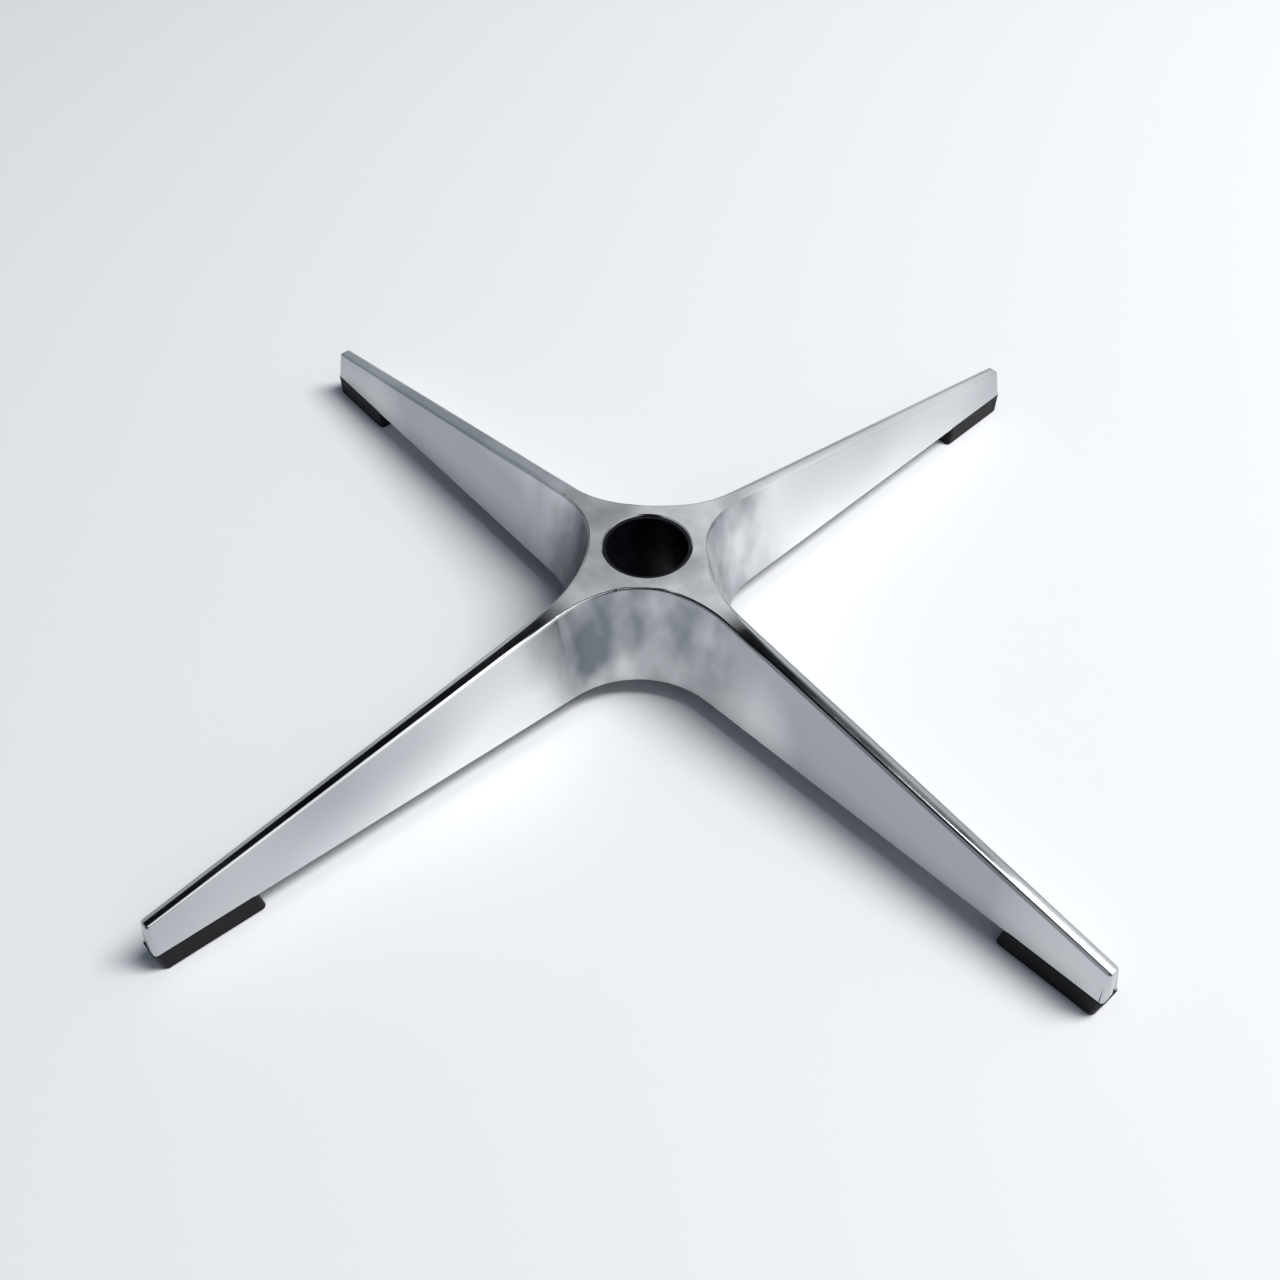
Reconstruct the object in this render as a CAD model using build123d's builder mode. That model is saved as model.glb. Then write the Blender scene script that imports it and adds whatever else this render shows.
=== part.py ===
"""Swivel chair base: a four-armed casting, a sleeve that lines its socket and a glide under each tip."""
import os
from math import cos, radians, sin, tan

from build123d import *

# Millimetres. +Z is up. The origin is on the floor, on the axis of the column.

# Overall size
reach = 350.0               # axis to the outermost edge of a glide
hub_height = 78.2           # floor to the hub's flat face
glide_height = 13.3         # floor to the flat underside of the casting

# Casting, outside
arm_count = 4
face_ring = 1.5             # flat from the socket's edge to where an arm's bend begins
bend_radius = 60.0          # the face rolls over into each arm on this radius
arm_slope = 8.0             # fall of an arm's top, degrees
hub_draft = 13.1            # lean of the walls at the hub, degrees
tip_draft = 8.0             # lean of the walls at the tip, degrees
end_draft = 9.0             # lean of the tip's end, degrees
plan_angle = 1.97           # how fast an arm narrows where it leaves the hub, degrees a side
root_station = 77.2         # the concave corners end and the arms begin here
root_top_half = 5.34        # half the width of an arm's top at the root
tip_top_half = 4.14         # half the width of an arm's top at the tip
top_edge_radius = 1.8       # rounding of the upper edges
tip_corner_radius = 2.5     # upright corners of the tip
planing_allowance = 3.0     # spare height at the tip before the top is planed

# Casting, inside
socket_radius = 27.0        # bored through the hub
socket_chamfer = 0.8        # bright rim of the socket
boss_wall = 5.0             # metal left round the socket below
skin = 3.6                  # wall left beside a channel
deck = 6.0                  # metal left above a channel
end_wall = 4.5              # metal left at the tip
stop_rib = 3.0              # cross rib at the inner end of a glide's plug

# Sleeve
sleeve_wall = 2.0
sleeve_sink = 1.2           # its top below the hub's face
sleeve_land = 14.0          # straight length at its mouth
sleeve_taper = 1.5          # lean of the bore below the land, degrees

# Glide
glide_length = 60.0         # along the arm, at its top
glide_proud = 0.4           # how far it stands out past the casting
glide_lean = 8.0            # both ends lean to the hub at the floor, degrees
glide_flare = 5.0           # the sides widen to the floor, degrees
glide_corner = 3.0          # upright corners
glide_edge = 0.8            # chamfer at the floor
plug_height = 9.0           # how far the plug rises into the channel
plug_setback = 1.0          # from the glide's inner end to the plug's cell
plug_clearance = 0.15       # round the plug

# Sizes that follow
face_radius = socket_radius + face_ring
arm_reach = reach - glide_proud
arm_length = arm_reach - root_station
spread = tan(radians(plan_angle))
hub_run = tan(radians(hub_draft)) / cos(radians(plan_angle))
tip_run = tan(radians(tip_draft))
casting_height = hub_height - glide_height
bend_run = bend_radius * sin(radians(arm_slope))
bend_fall = bend_radius * (1 - cos(radians(arm_slope)))


def top_height(station):
    """Height of the arm's top at a distance from the axis, past the bend."""
    return hub_height - bend_fall - (station - face_radius - bend_run) * tan(radians(arm_slope))


# Half widths of the underside, which follow from the top and the lean of the walls
root_half_width = root_top_half + (top_height(root_station) - glide_height) * hub_run
tip_half_width = tip_top_half + (top_height(arm_reach) - glide_height) * tip_run
centre_half_width = root_half_width + spread * root_station
corner_radius = (root_station - root_half_width) * cos(radians(plan_angle))


def arm_section(station, height, inset):
    """Corners of the arm's section: half widths at the underside and at a height above it."""
    part_way = (station - root_station) / arm_length
    half_width = root_half_width + (tip_half_width - root_half_width) * part_way - inset
    run = hub_run + (tip_run - hub_run) * part_way
    half_top = half_width - height * run
    return [(-half_width, 0), (half_width, 0), (half_top, height), (-half_top, height)]


def station_plane(station):
    """Upright plane across the arm along +X, its origin level with the casting's underside."""
    return Plane(origin=(station, 0, glide_height), x_dir=(0, 1, 0), z_dir=(1, 0, 0))


# One arm along +X: lofted from the section at the hub to the section at the tip
with BuildPart() as arm:
    tip_height = top_height(arm_reach) + planing_allowance - glide_height
    for station, height in ((root_station, casting_height), (arm_reach, tip_height)):
        with BuildSketch(station_plane(station)):
            Polygon(*arm_section(station, height, 0), align=None)
    loft(ruled=True)
    tip_plane = Plane(origin=(arm_reach, 0, glide_height), z_dir=(1, 0, tan(radians(end_draft))))
    split(bisect_by=tip_plane, keep=Keep.BOTTOM)
    tip_face = arm.faces().sort_by(Axis.X)[-1]
    uprights = tip_face.edges().filter_by(lambda e: abs((e % 0.5).Z) > 0.9)
    fillet(uprights, radius=tip_corner_radius)

# The channel along +X: it leaves the skin, the deck, the end wall, the boss and the stop rib
with BuildPart() as channel:
    plug_end = arm_reach - end_wall
    plug_start = reach - glide_length + plug_setback
    for stretch in ((0, root_station), (root_station, plug_start - stop_rib), (plug_start, plug_end)):
        for station in stretch:
            with BuildSketch(station_plane(station)):
                ceiling = top_height(station) - deck - glide_height
                Polygon(*arm_section(station, ceiling, skin), align=None)
        loft(ruled=True)
    Cylinder(socket_radius + boss_wall, 3 * hub_height, mode=Mode.SUBTRACT)

# What is planed off above the hub and the arm along +X: level, then a bend, then the fall
with BuildPart() as planing:
    with BuildSketch(Plane.XZ):
        with BuildLine():
            level = Line((0, hub_height), (face_radius, hub_height))
            bend = JernArc(start=level @ 1, tangent=level % 1, radius=bend_radius, arc_size=-arm_slope)
            fall = Line(bend @ 1, (reach, top_height(reach)))
            Polyline(fall @ 1, (reach, 2 * hub_height), (0, 2 * hub_height), (0, hub_height))
        make_face()
    extrude(amount=root_station, both=True)

# Casting: the hub with its concave corners, the arms, the planed top, then socket and channels
with BuildPart() as casting:
    with BuildSketch(Plane.XY.offset(glide_height)) as hub_outline:
        stub_reach = 1.5 * root_station
        stub_half_width = centre_half_width - spread * stub_reach
        with PolarLocations(0, arm_count):
            Polygon(
                (0, -centre_half_width),
                (stub_reach, -stub_half_width),
                (stub_reach, stub_half_width),
                (0, centre_half_width),
                align=None,
            )
        inner_corners = hub_outline.vertices().sort_by_distance((0, 0, 0))[:arm_count]
        fillet(inner_corners, radius=corner_radius)
    extrude(amount=casting_height, taper=hub_draft)
    with Locations((0, 0, hub_height / 2)):
        Box(2 * root_station, 2 * root_station, hub_height, mode=Mode.INTERSECT)
    with PolarLocations(0, arm_count):
        add(arm.part)
    with PolarLocations(0, arm_count):
        add(planing.part, mode=Mode.SUBTRACT)
    crown = casting.faces().filter_by(lambda f: f.normal_at().Z > 0.9)
    walls = casting.faces().filter_by(lambda f: abs(f.normal_at().Z) < 0.5)
    upper_edges = crown.edges().filter_by(lambda e: e in walls.edges())
    fillet(upper_edges, radius=top_edge_radius)
    with Locations((0, 0, hub_height / 2)):
        Cylinder(socket_radius, 2 * hub_height, mode=Mode.SUBTRACT)
    rim = casting.edges().filter_by(GeomType.CIRCLE).group_by(Axis.Z)[-1].sort_by(SortBy.RADIUS)[0]
    chamfer(rim, length=socket_chamfer)
    with PolarLocations(0, arm_count):
        add(channel.part, mode=Mode.SUBTRACT)

# Sleeve: straight land at the mouth, then the slow taper that grips a column
with BuildPart() as sleeve:
    sleeve_top = hub_height - sleeve_sink
    bore_radius = socket_radius - sleeve_wall
    taper_length = sleeve_top - sleeve_land - glide_height
    foot_radius = bore_radius - taper_length * tan(radians(sleeve_taper))
    with BuildSketch(Plane.XZ):
        with BuildLine():
            Polyline(
                (socket_radius, glide_height),
                (socket_radius, sleeve_top),
                (bore_radius, sleeve_top),
                (bore_radius, sleeve_top - sleeve_land),
                (foot_radius, glide_height),
                close=True,
            )
        make_face()
    revolve(axis=Axis.Z)

# Glide under the arm along +X, with the plug that holds it in the channel
with BuildPart() as glide:
    glide_start = reach - glide_length
    end_shift = glide_height * tan(radians(glide_lean))
    with BuildSketch(Plane.XZ):
        Polygon(
            (glide_start, glide_height),
            (reach, glide_height),
            (reach - end_shift, 0),
            (glide_start - end_shift, 0),
            align=None,
        )
    extrude(amount=root_half_width, both=True)
    narrowing = (root_half_width - tip_half_width) / arm_length
    for side in (1, -1):
        outward = Vector(narrowing, side, tan(radians(glide_flare)))
        foot = Vector(arm_reach, side * (tip_half_width + glide_proud), glide_height)
        split(bisect_by=Plane(origin=foot, z_dir=outward), keep=Keep.BOTTOM)
    uprights = glide.edges().filter_by(lambda e: abs((e % 0.5).Z) > 0.6)
    fillet(uprights, radius=glide_corner)
    chamfer(glide.edges().group_by(Axis.Z)[0], length=glide_edge)
    for station in (plug_start + plug_clearance, plug_end - plug_clearance):
        with BuildSketch(station_plane(station)):
            Polygon(*arm_section(station, plug_height, skin + plug_clearance), align=None)
    loft(ruled=True)

os.makedirs("parts", exist_ok=True)
casting.part.label = "star_casting"
export_step(casting.part, "parts/star_casting.step")
sleeve.part.label = "hub_sleeve"
export_step(sleeve.part, "parts/hub_sleeve.step")
for number, heading in enumerate(("px", "py", "nx", "ny")):
    with BuildPart() as placed:
        with Locations(Rotation(0, 0, number * 360 / arm_count)):
            add(glide.part)
    placed.part.label = f"glide_{heading}"
    export_step(placed.part, f"parts/glide_{heading}.step")
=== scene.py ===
# %% [markdown]
# # A polished four-armed chair base
#
# The base is one polished aluminium casting, a black lining in its socket and a black glide under
# each tip. Its shapes are already right in the CAD model, which loads here as a fixed frame, in
# metres, standing on the floor. This lesson gives those shapes their finishes, then builds the
# floor, the light and the camera of a plain product photograph.

# %% Load the CAD model
from math import cos, radians, sin

import bmesh
import bpy
from mathutils import Matrix, Vector

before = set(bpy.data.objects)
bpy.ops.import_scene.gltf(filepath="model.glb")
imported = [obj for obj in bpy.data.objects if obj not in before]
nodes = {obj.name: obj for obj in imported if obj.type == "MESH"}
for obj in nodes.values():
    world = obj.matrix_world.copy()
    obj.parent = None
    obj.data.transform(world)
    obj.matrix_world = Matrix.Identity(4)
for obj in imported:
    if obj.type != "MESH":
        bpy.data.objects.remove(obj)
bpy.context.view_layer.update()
print("CAD nodes:", sorted(nodes))

# %% [markdown]
# ## Starting a material
#
# Every finish below is a Principled shader with a few nodes in front of it. Values that are the
# same all over could have nodes too, but they are easier to find when they are set straight on
# the shader's sockets, so the first helper does that. The second one fills any node's input, with
# a plain value or with what another node gives.


# %% Start a material and fill its inputs
def start_material(name, **settings):
    """Makes a material with these settings. Hands back the material, its tree and its shader."""
    material = bpy.data.materials.new(name)
    material.use_nodes = True
    shader = material.node_tree.nodes["Principled BSDF"]
    for socket, value in settings.items():
        shader.inputs[socket.replace("_", " ")].default_value = value
    return material, material.node_tree, shader


def fill(tree, socket, value):
    """Links an input to the output that the value is, or else stores the value in it."""
    if isinstance(value, bpy.types.NodeSocket):
        tree.links.new(value, socket)
    else:
        socket.default_value = value


aluminium, metal_tree, metal = start_material("polished_aluminium", Metallic=1.0)
print("inputs that a shader can take:", len(metal.inputs))

# %% [markdown]
# ## Sums in a material
#
# A finish that changes with the place needs sums on the place. A script could work them out once
# for each corner of the mesh, but these meshes stay as they are, so nodes do the sums wherever a
# ray lands. Each helper adds one node and hands back what it gives.


# %% Make the helpers for sums
def calculate(tree, operation, *values):
    """One sum on sockets or numbers."""
    node = tree.nodes.new("ShaderNodeMath")
    node.operation = operation
    for socket, value in zip(node.inputs, values):
        fill(tree, socket, value)
    return node.outputs["Value"]


def remap(tree, value, given, wanted=(0.0, 1.0), ease="LINEAR"):
    """Carries a value from the given range to the wanted one, and holds it past the ends."""
    node = tree.nodes.new("ShaderNodeMapRange")
    node.interpolation_type = ease
    fill(tree, node.inputs["Value"], value)
    node.inputs["From Min"].default_value, node.inputs["From Max"].default_value = given
    node.inputs["To Min"].default_value, node.inputs["To Max"].default_value = wanted
    return node.outputs["Result"]


def on_vector(tree, operation, *values):
    """One operation on vectors."""
    node = tree.nodes.new("ShaderNodeVectorMath")
    node.operation = operation
    for socket, value in zip(node.inputs, values):
        fill(tree, socket, value)
    gives_number = operation in ("LENGTH", "DOT_PRODUCT")
    return node.outputs["Value" if gives_number else "Vector"]


def split(tree, vector):
    """The X, Y and Z of a vector."""
    node = tree.nodes.new("ShaderNodeSeparateXYZ")
    fill(tree, node.inputs["Vector"], vector)
    return node.outputs


print("nodes before any sum:", len(metal_tree.nodes))

# %% [markdown]
# ## Where a point is on the casting
#
# The hub's face, the corners between the arms and the arms' tops each get their own treatment:
# the face stays satin, the corners get painted shade and the tops are crowned. Three measures
# tell them
# apart: the distance from the column's axis, the distance from the nearer arm's middle line, and
# how far the face looks up. A painted mask could mark them too, but it would have to be painted
# again if the arms changed. The first mask takes all the faces that look straight up.

# %% Measure the metal
nearly_level = (0.970, 0.988)  # how far a face looks up, 1 for straight up

place = metal_tree.nodes.new("ShaderNodeTexCoord").outputs
from_axis = on_vector(
    metal_tree, "LENGTH", on_vector(metal_tree, "MULTIPLY", place["Object"], (1, 1, 0))
)
sideways = split(metal_tree, on_vector(metal_tree, "ABSOLUTE", place["Object"]))
from_middle = calculate(metal_tree, "MINIMUM", sideways["X"], sideways["Y"])
looks_up = split(metal_tree, place["Normal"])["Z"]
top_faces = remap(metal_tree, looks_up, nearly_level)
print("nodes that measure the metal:", len(metal_tree.nodes))

# %% [markdown]
# ## Polished aluminium
#
# The casting was ground and then buffed on a cloth wheel, which leaves a mirror that is never
# quite even. The hub's flat face was finished on a flat pad instead and stays satin. Two
# materials could share the faces, but the satin fades into the polish where the face rolls over
# into the arms, so one material does both. Where a point is near the hub and its face looks up,
# the metal is softer.


# %% Polish the metal and leave the hub satin
def cloud(tree, scale, detail, roughness=0.5, stretch=(1, 1, 1), shift=(0, 0, 0)):
    """Noise on Object coordinates, so that the pattern keeps its size and place on the piece."""
    mapping = tree.nodes.new("ShaderNodeMapping")
    mapping.inputs["Scale"].default_value = stretch
    mapping.inputs["Location"].default_value = shift
    coordinates = tree.nodes.new("ShaderNodeTexCoord")
    fill(tree, mapping.inputs["Vector"], coordinates.outputs["Object"])
    noise = tree.nodes.new("ShaderNodeTexNoise")
    noise.inputs["Scale"].default_value = scale
    noise.inputs["Detail"].default_value = detail
    noise.inputs["Roughness"].default_value = roughness
    fill(tree, noise.inputs["Vector"], mapping.outputs["Vector"])
    return noise.outputs["Fac"]


def mix(tree, share, first, second, kind="RGBA"):
    """Mixes two colours, or two numbers of the kind FLOAT: the first at 0, the second at 1."""
    node = tree.nodes.new("ShaderNodeMix")
    node.data_type = kind
    fill(tree, node.inputs["Factor"], share)
    fill(tree, node.inputs["A"], first)
    fill(tree, node.inputs["B"], second)
    return node.outputs["Result"]


wide_noise = (0.3, 0.7)
fading_out = (1.0, 0.0)
mirror_roughness = (0.10, 0.20)
satin_roughness = 0.66
satin_fades = (0.055, 0.085)  # metres from the axis

near_hub = remap(metal_tree, from_axis, satin_fades, fading_out)
satin = calculate(metal_tree, "MULTIPLY", top_faces, near_hub)
buffed = cloud(metal_tree, scale=22.0, detail=3.0)
polish = remap(metal_tree, buffed, wide_noise, mirror_roughness)
softness = mix(metal_tree, satin, polish, satin_roughness, kind="FLOAT")
fill(metal_tree, metal.inputs["Roughness"], softness)
print("roughness from", mirror_roughness[0], "to", satin_roughness)

# %% [markdown]
# ## Cloudy arms with painted shade
#
# The arms' mirror is clear in places and dull in others, and it gets duller towards the tips. One
# even grey would look like plastic. Very slow noise fades the metal between a dull and a clear
# tone.
# The dull patches are partly the metal's own uneven polish and partly painted shade: the noise is
# placed so that they darken the walls that face away from the lamp.

# %% Cloud the arms and paint shade on them
# Painted shade: the dull tone darkens the walls that face away from the lamp, where the noise
# puts it.
dull_metal_and_shade = (0.38, 0.40, 0.42, 1)
clear_metal = (0.88, 0.88, 0.89, 1)
arm_clouds_at = (6.64, 2.32, 3.76)  # the part of the endless noise that falls on the arms
arm_clouds_fade = (0.40, 0.60)
tips_begin = (0.26, 0.35)
tips_keep = 0.42

slow = cloud(metal_tree, scale=4.0, detail=2.0, shift=arm_clouds_at)
clear = remap(metal_tree, slow, arm_clouds_fade)
to_tips = remap(metal_tree, from_axis, tips_begin, (1.0, tips_keep))
clear = calculate(metal_tree, "MULTIPLY", clear, to_tips)
clouded_and_shaded = mix(metal_tree, clear, dull_metal_and_shade, clear_metal)
print("at the tips the metal keeps", tips_keep, "of its clear tone")

# %% [markdown]
# ## Shaded corners
#
# The corners between the arms mirror the shaded floor in front of them, and they are darkened
# with painted shade, laid on in smeared patches. A second material could stop at the hub's edge,
# but the shade runs out along the arms, so finer noise lays it on by the distance from the axis.
# It is drawn out upwards and keeps off the faces that look up.

# %% Paint shade into the corners
# Painted shade: a dark tone laid into the corners between the arms, in smeared patches.
painted_corner_shade = (0.19, 0.21, 0.23, 1)
corner_shade_end = (0.070, 0.110)
shade_smears_at = (12.45, 4.35, 7.05)
shade_smears_fade = (0.36, 0.60)
stretched_upwards = (1, 1, 0.6)

corners = remap(metal_tree, from_axis, corner_shade_end, fading_out)
corners = calculate(metal_tree, "SUBTRACT", corners, top_faces)
shade_smears = cloud(metal_tree, scale=20.0, detail=3.0, stretch=stretched_upwards, shift=shade_smears_at)
shade_smears = remap(metal_tree, shade_smears, shade_smears_fade)
shade_smears = calculate(metal_tree, "MULTIPLY", corners, shade_smears)
metal_with_corner_shade = mix(metal_tree, shade_smears, clouded_and_shaded, painted_corner_shade)
print("smears run out", corner_shade_end[1], "m from the axis")

# %% [markdown]
# ## Marks and painted reflection on the satin face
#
# The hub's face has faint cloudy marks, and its tone is lighter on some sides than on others.
# That tone could come from the room, as on the mirror, but satin metal blurs the room into one
# grey, so the lighter and darker clouds are painted reflection in the metal's colour, mixed with
# the face's own marks.

# %% Mark the satin face, paint its reflection and finish the colour
# Painted reflection: the light and dark tones stand in for the room's light on the satin face,
# with its own marks.
dark_marks_and_reflection = (0.36, 0.37, 0.38, 1)
light_marks_and_reflection = (0.66, 0.67, 0.68, 1)
pad_reach = (0.075, 0.120)
satin_clouds_at = (7.47, 2.61, 4.23)
satin_clouds_fade = (0.38, 0.62)

satin_clouds = cloud(metal_tree, scale=14.0, detail=4.0, roughness=0.55, shift=satin_clouds_at)
marks_and_painted_reflection = remap(metal_tree, satin_clouds, satin_clouds_fade)
marks_and_painted_reflection = mix(metal_tree, marks_and_painted_reflection, dark_marks_and_reflection, light_marks_and_reflection)
under_pad = remap(metal_tree, from_axis, pad_reach, fading_out)
under_pad = calculate(metal_tree, "MULTIPLY", top_faces, under_pad)
fill(metal_tree, metal.inputs["Base Color"], mix(metal_tree, under_pad, metal_with_corner_shade, marks_and_painted_reflection))
print("nodes in the metal so far:", len(metal_tree.nodes))

# %% [markdown]
# ## Crowned arms
#
# Polishing has rounded the arms' narrow tops: they are crowned by some tenths of a millimetre and
# roll over softly at their edges. That is too little to see in the outline, but it decides what
# the top mirrors: a dark band and a bright line side by side. The shape stays as the CAD model
# has it, and a bump node tilts the mirror. Its height is worked out from the distance to the
# arm's middle line, in metres.

# %% Crown the arms
# Metres, with the root, the tip and the half widths as in the CAD model
crown_radius = 0.030
crown_begins = (0.070, 0.110)
roll_width = 0.003
roll_drop = 0.00075
root_and_tip = (0.0772, 0.3496)
half_widths = (0.00534, 0.00414)
fall = 0.5 / crown_radius  # a circle falls by this times the square of the way out

half_width = remap(metal_tree, from_axis, root_and_tip, half_widths)
across = calculate(metal_tree, "MINIMUM", from_middle, half_width)
across_squared = calculate(metal_tree, "MULTIPLY", across, across)
crown_drop = calculate(metal_tree, "MULTIPLY", across_squared, fall)
from_edge = calculate(metal_tree, "SUBTRACT", half_width, from_middle)
edge_drop = remap(metal_tree, from_edge, (0.0, roll_width), (roll_drop, 0.0), ease="SMOOTHSTEP")
drop = calculate(metal_tree, "ADD", crown_drop, edge_drop)
drop = calculate(metal_tree, "MULTIPLY", drop, remap(metal_tree, from_axis, crown_begins))
crown = metal_tree.nodes.new("ShaderNodeBump")
crown.inputs["Strength"].default_value = 1.0
crown.inputs["Distance"].default_value = 1.0
fill(metal_tree, crown.inputs["Height"], calculate(metal_tree, "MULTIPLY", drop, -1.0))
print("crown", round(1000 * fall * half_widths[0] ** 2, 2), "mm high at the arm's root")

# %% [markdown]
# ## Ripple
#
# Buffing follows the hand, so no mirrored line on the casting is quite straight. More roughness
# would only blur the lines. A second bump, shallow and slow, bends them.

# %% Ripple the metal and put it on the casting
ripple = metal_tree.nodes.new("ShaderNodeBump")
ripple.inputs["Strength"].default_value = 0.25
ripple.inputs["Distance"].default_value = 0.0006
fill(metal_tree, ripple.inputs["Height"], cloud(metal_tree, scale=30.0, detail=2.0))
fill(metal_tree, ripple.inputs["Normal"], crown.outputs["Normal"])
fill(metal_tree, metal.inputs["Normal"], ripple.outputs["Normal"])

casting = nodes["star_casting"]
casting.material_slots[0].material = aluminium
print("nodes in the metal:", len(metal_tree.nodes), "casting faces:", len(casting.data.polygons))

# %% [markdown]
# ## The socket's lining
#
# The lining is a smooth moulding, almost black. Plain gloss black would do, but a little noise in
# its roughness breaks up what it mirrors, as on a real moulding.

# %% Line the socket
lining_roughness = (0.18, 0.35)

lining_black, tree, shader = start_material(
    "lining_black", Base_Color=(0.004, 0.004, 0.008, 1), IOR=1.35
)
handled = cloud(tree, scale=60.0, detail=3.0)
fill(tree, shader.inputs["Roughness"], remap(tree, handled, wide_noise, lining_roughness))
nodes["hub_sleeve"].material_slots[0].material = lining_black
print("lining roughness", lining_roughness)

# %% [markdown]
# ## The glides
#
# The glides are a tougher, duller plastic with a fine moulded grain that scuffs a little paler
# where they slide. The grain is far too fine to model, so a bump gives it. One cloud drives both
# the tone and the roughness, because a scuff changes the two together.

# %% Mould the glides
unworn = (0.003, 0.003, 0.004, 1)
scuffed = (0.009, 0.009, 0.010, 1)
glide_roughness = (0.38, 0.60)

glide_black, tree, shader = start_material("glide_black", IOR=1.25)
scuffs = cloud(tree, scale=120.0, detail=4.0)
worn = remap(tree, scuffs, wide_noise)
fill(tree, shader.inputs["Base Color"], mix(tree, worn, unworn, scuffed))
fill(tree, shader.inputs["Roughness"], remap(tree, scuffs, wide_noise, glide_roughness))
grain = tree.nodes.new("ShaderNodeBump")
grain.inputs["Strength"].default_value = 0.3
grain.inputs["Distance"].default_value = 0.0001
fill(tree, grain.inputs["Height"], cloud(tree, scale=900.0, detail=2.0))
fill(tree, shader.inputs["Normal"], grain.outputs["Normal"])

glides = [nodes[f"glide_{heading}"] for heading in ("px", "py", "nx", "ny")]
for glide in glides:
    glide.material_slots[0].material = glide_black
print("glides in black plastic:", len(glides))

# %% [markdown]
# ## The floor
#
# In a studio a wide pale sheet lies under the base and curves up far behind it. The picture only
# shows its flat part, so a large plane will do.

# %% Lay the floor
floor_half_size = 6.0

sheet = bmesh.new()
bmesh.ops.create_grid(sheet, x_segments=1, y_segments=1, size=floor_half_size)
floor_mesh = bpy.data.meshes.new("floor")
sheet.to_mesh(floor_mesh)
sheet.free()
floor = bpy.data.objects.new("floor", floor_mesh)
bpy.context.scene.collection.objects.link(floor)
paper = start_material("white_paper", Base_Color=(0.95, 0.955, 0.96, 1), Roughness=0.7)[0]
floor_mesh.materials.append(paper)
print("floor", 2 * floor_half_size, "m wide")

# %% [markdown]
# ## Patches of light and dark
#
# Polished metal shows the room rather than itself, so the room has to be painted with care.
# Modelled walls and boards could do it, but round patches on the world are easier to move. Each
# is laid where the direction of view is near to a chosen one.


# %% Make the patches
def toward(bearing, height):
    """The direction at a bearing from +X and a height above the horizon, both in degrees."""
    bearing, height = radians(bearing), radians(height)
    return Vector((cos(bearing) * cos(height), sin(bearing) * cos(height), sin(height)))


world = bpy.data.worlds.new("room")
bpy.context.scene.world = world
world.use_nodes = True
sky_tree = world.node_tree
gaze = sky_tree.nodes.new("ShaderNodeTexCoord").outputs["Generated"]


def lay_patch(below, bearing, height, inner, outer, colour):
    """Lays a round patch over what is below: full inside the inner angle, gone at the outer."""
    nearness = on_vector(sky_tree, "DOT_PRODUCT", gaze, toward(bearing, height))
    fades = (cos(radians(outer)), cos(radians(inner)))
    return mix(sky_tree, remap(sky_tree, nearness, fades, ease="SMOOTHSTEP"), below, colour)


print("straight up is", [round(v, 3) for v in toward(0, 90)])

# %% [markdown]
# ## The room that the metal shows
#
# The walls are grey, pale towards +Y and +X and a little lighter towards -X. A dark ceiling turns
# the tops of the arms black, and one bright panel high towards +X gives them their bright lines.
# The side that the camera stands on is dark, as a studio keeps it. A ready-made sky could give
# livelier reflections, but not these bands in these places.

# %% Paint the room
walls = (0.37, 0.41, 0.44, 1)
dark = (0.006, 0.006, 0.008, 1)
room_patches = (
    # bearing, height, inner, outer, colour
    (165, 28, 20, 40, (0.52, 0.56, 0.59, 1)),
    (75, 33, 34, 58, (0.96, 0.98, 1.00, 1)),
    (10, 20, 20, 60, (0.90, 0.92, 0.95, 1)),
    (200, 77, 37, 43, dark),
    (-41, 48, 22, 32, dark),
    (20, 62, 25, 30, (1.50, 1.50, 1.50, 1)),
)
room = walls
for patch in room_patches:
    room = lay_patch(room, *patch)
print("patches in the room:", len(room_patches))

# %% [markdown]
# ## The daylight on everything else
#
# The room is laid out for the mirrors, and its light would be wrong on the floor, so only mirrors
# see it. Matt surfaces get a plainer daylight of their own, brightest from between +X and +Y and
# a little blue, which keeps the shadows soft and deep, and the camera sees a plain pale backdrop.
# A second lamp could stand in for the daylight, but it would show in the metal.

# %% Part the light between mirrors, matt surfaces and the camera
dusk = (0.04, 0.055, 0.085, 1)
window_light = (0.51, 0.54, 0.59, 1)
backdrop = (0.78, 0.81, 0.84, 1)

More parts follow.
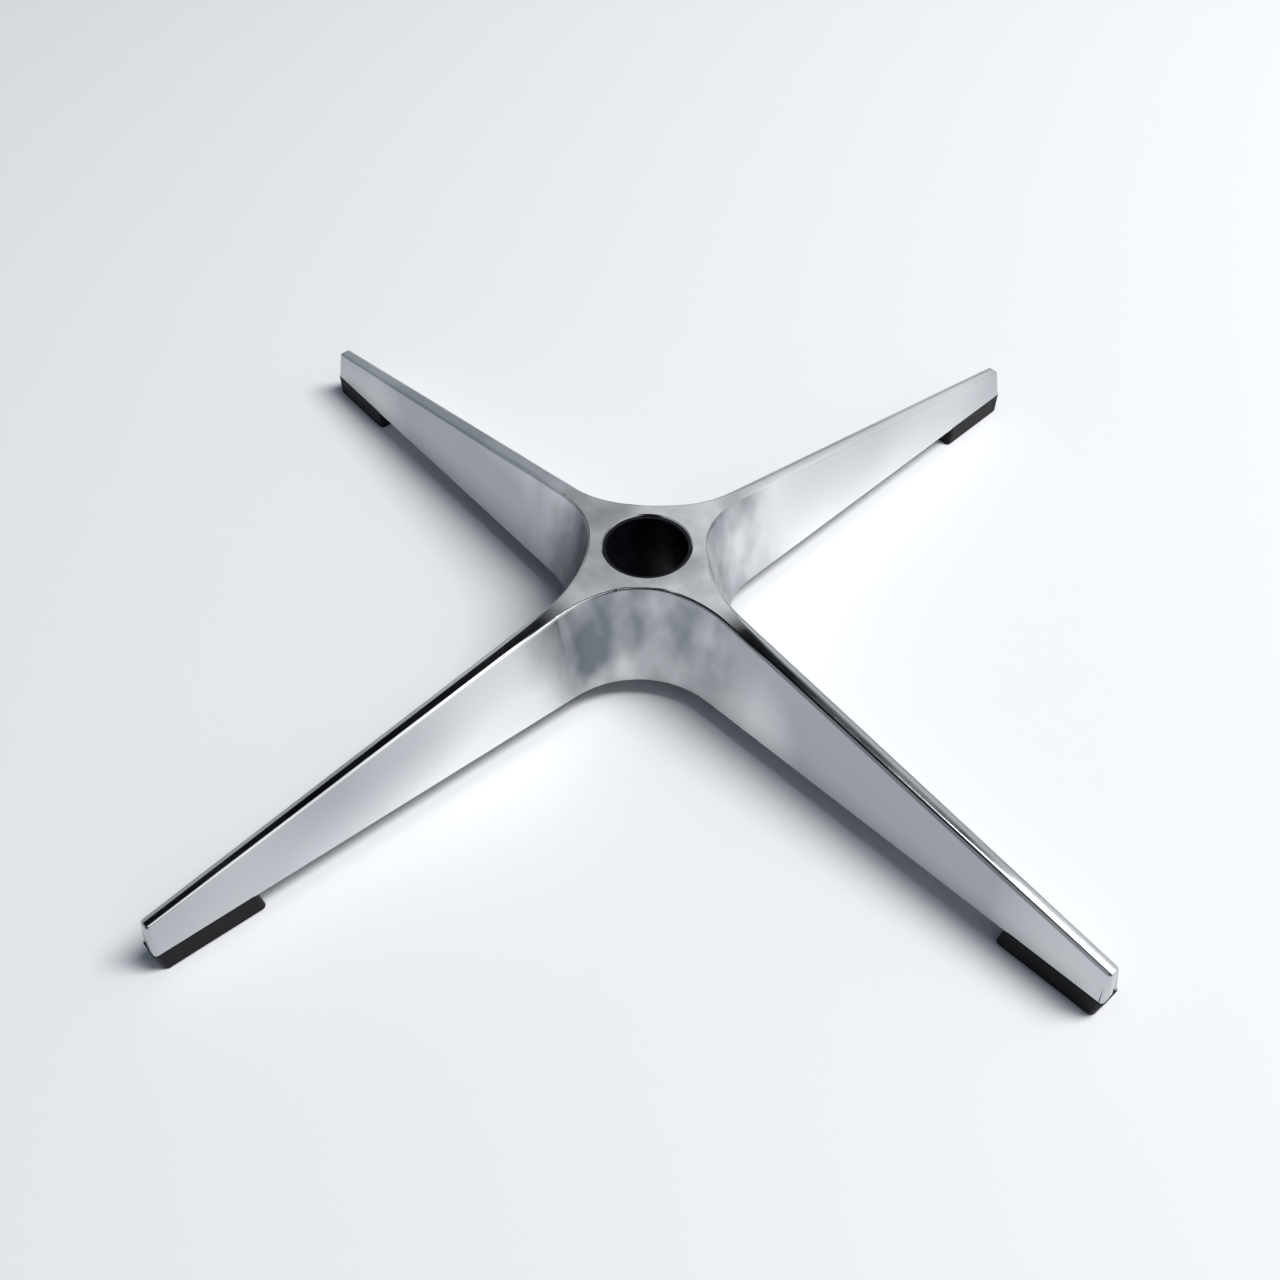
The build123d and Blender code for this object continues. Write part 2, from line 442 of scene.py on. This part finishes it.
daylight = lay_patch(dusk, bearing=30, height=22, inner=10, outer=75, colour=window_light)
rays = sky_tree.nodes.new("ShaderNodeLightPath").outputs
mirrored = mix(sky_tree, rays["Is Glossy Ray"], daylight, room)
seen = mix(sky_tree, rays["Is Camera Ray"], mirrored, backdrop)
fill(sky_tree, sky_tree.nodes["Background"].inputs["Color"], seen)
print("nodes in the world:", len(sky_tree.nodes))

# %% [markdown]
# ## The lamp
#
# One large soft lamp, high between +X and +Y, lays the shadows on the near side of the arms. It
# could be smaller and farther off, but then the shadows would have hard edges.

# %% Hang the lamp
lamp_distance, lamp_bearing, lamp_height = 5.0, 53, 59
lamp_width, lamp_length, lamp_watts = 1.7, 2.9, 221

lamp_place = lamp_distance * toward(lamp_bearing, lamp_height)
lamp_data = bpy.data.lights.new("key_lamp", "AREA")
lamp_data.shape = "RECTANGLE"
lamp_data.size, lamp_data.size_y = lamp_width, lamp_length
lamp_data.energy = lamp_watts
lamp = bpy.data.objects.new("key_lamp", lamp_data)
lamp.location = lamp_place
lamp.rotation_euler = (-lamp_place).to_track_quat("-Z", "Y").to_euler()
bpy.context.scene.collection.objects.link(lamp)
print("key lamp", round(lamp_place.length, 2), "m from the base")

# %% [markdown]
# ## The camera
#
# The photograph was taken from above the gap between two arms, close to the base, so the near
# arms look longer than the far ones. The place, the turn in radians and the lens were fitted to
# the outline of the base in the photograph.

# %% Set the camera
camera_place = Vector((0.417906, -0.370084, 0.621630))
yaw, pitch, roll = 0.855142776, -0.845178402, -0.0146959978
ahead = Vector((-sin(yaw) * cos(pitch), cos(yaw) * cos(pitch), sin(pitch)))
level = Vector((cos(yaw), sin(yaw), 0))
upright = level.cross(ahead)
to_right = level * cos(roll) + upright * sin(roll)
upward = upright * cos(roll) - level * sin(roll)

camera_data = bpy.data.cameras.new("camera")
camera_data.sensor_width = 36.0
camera_data.lens = 36.289
camera_data.clip_start = 0.01
camera = bpy.data.objects.new("camera", camera_data)
turn = Matrix((to_right, upward, -ahead)).transposed().to_4x4()
camera.matrix_world = Matrix.Translation(camera_place) @ turn
bpy.context.scene.collection.objects.link(camera)
bpy.context.scene.camera = camera
bpy.context.scene.view_settings.view_transform = "Standard"
print("camera", round(camera_place.length, 3), "m from the base")
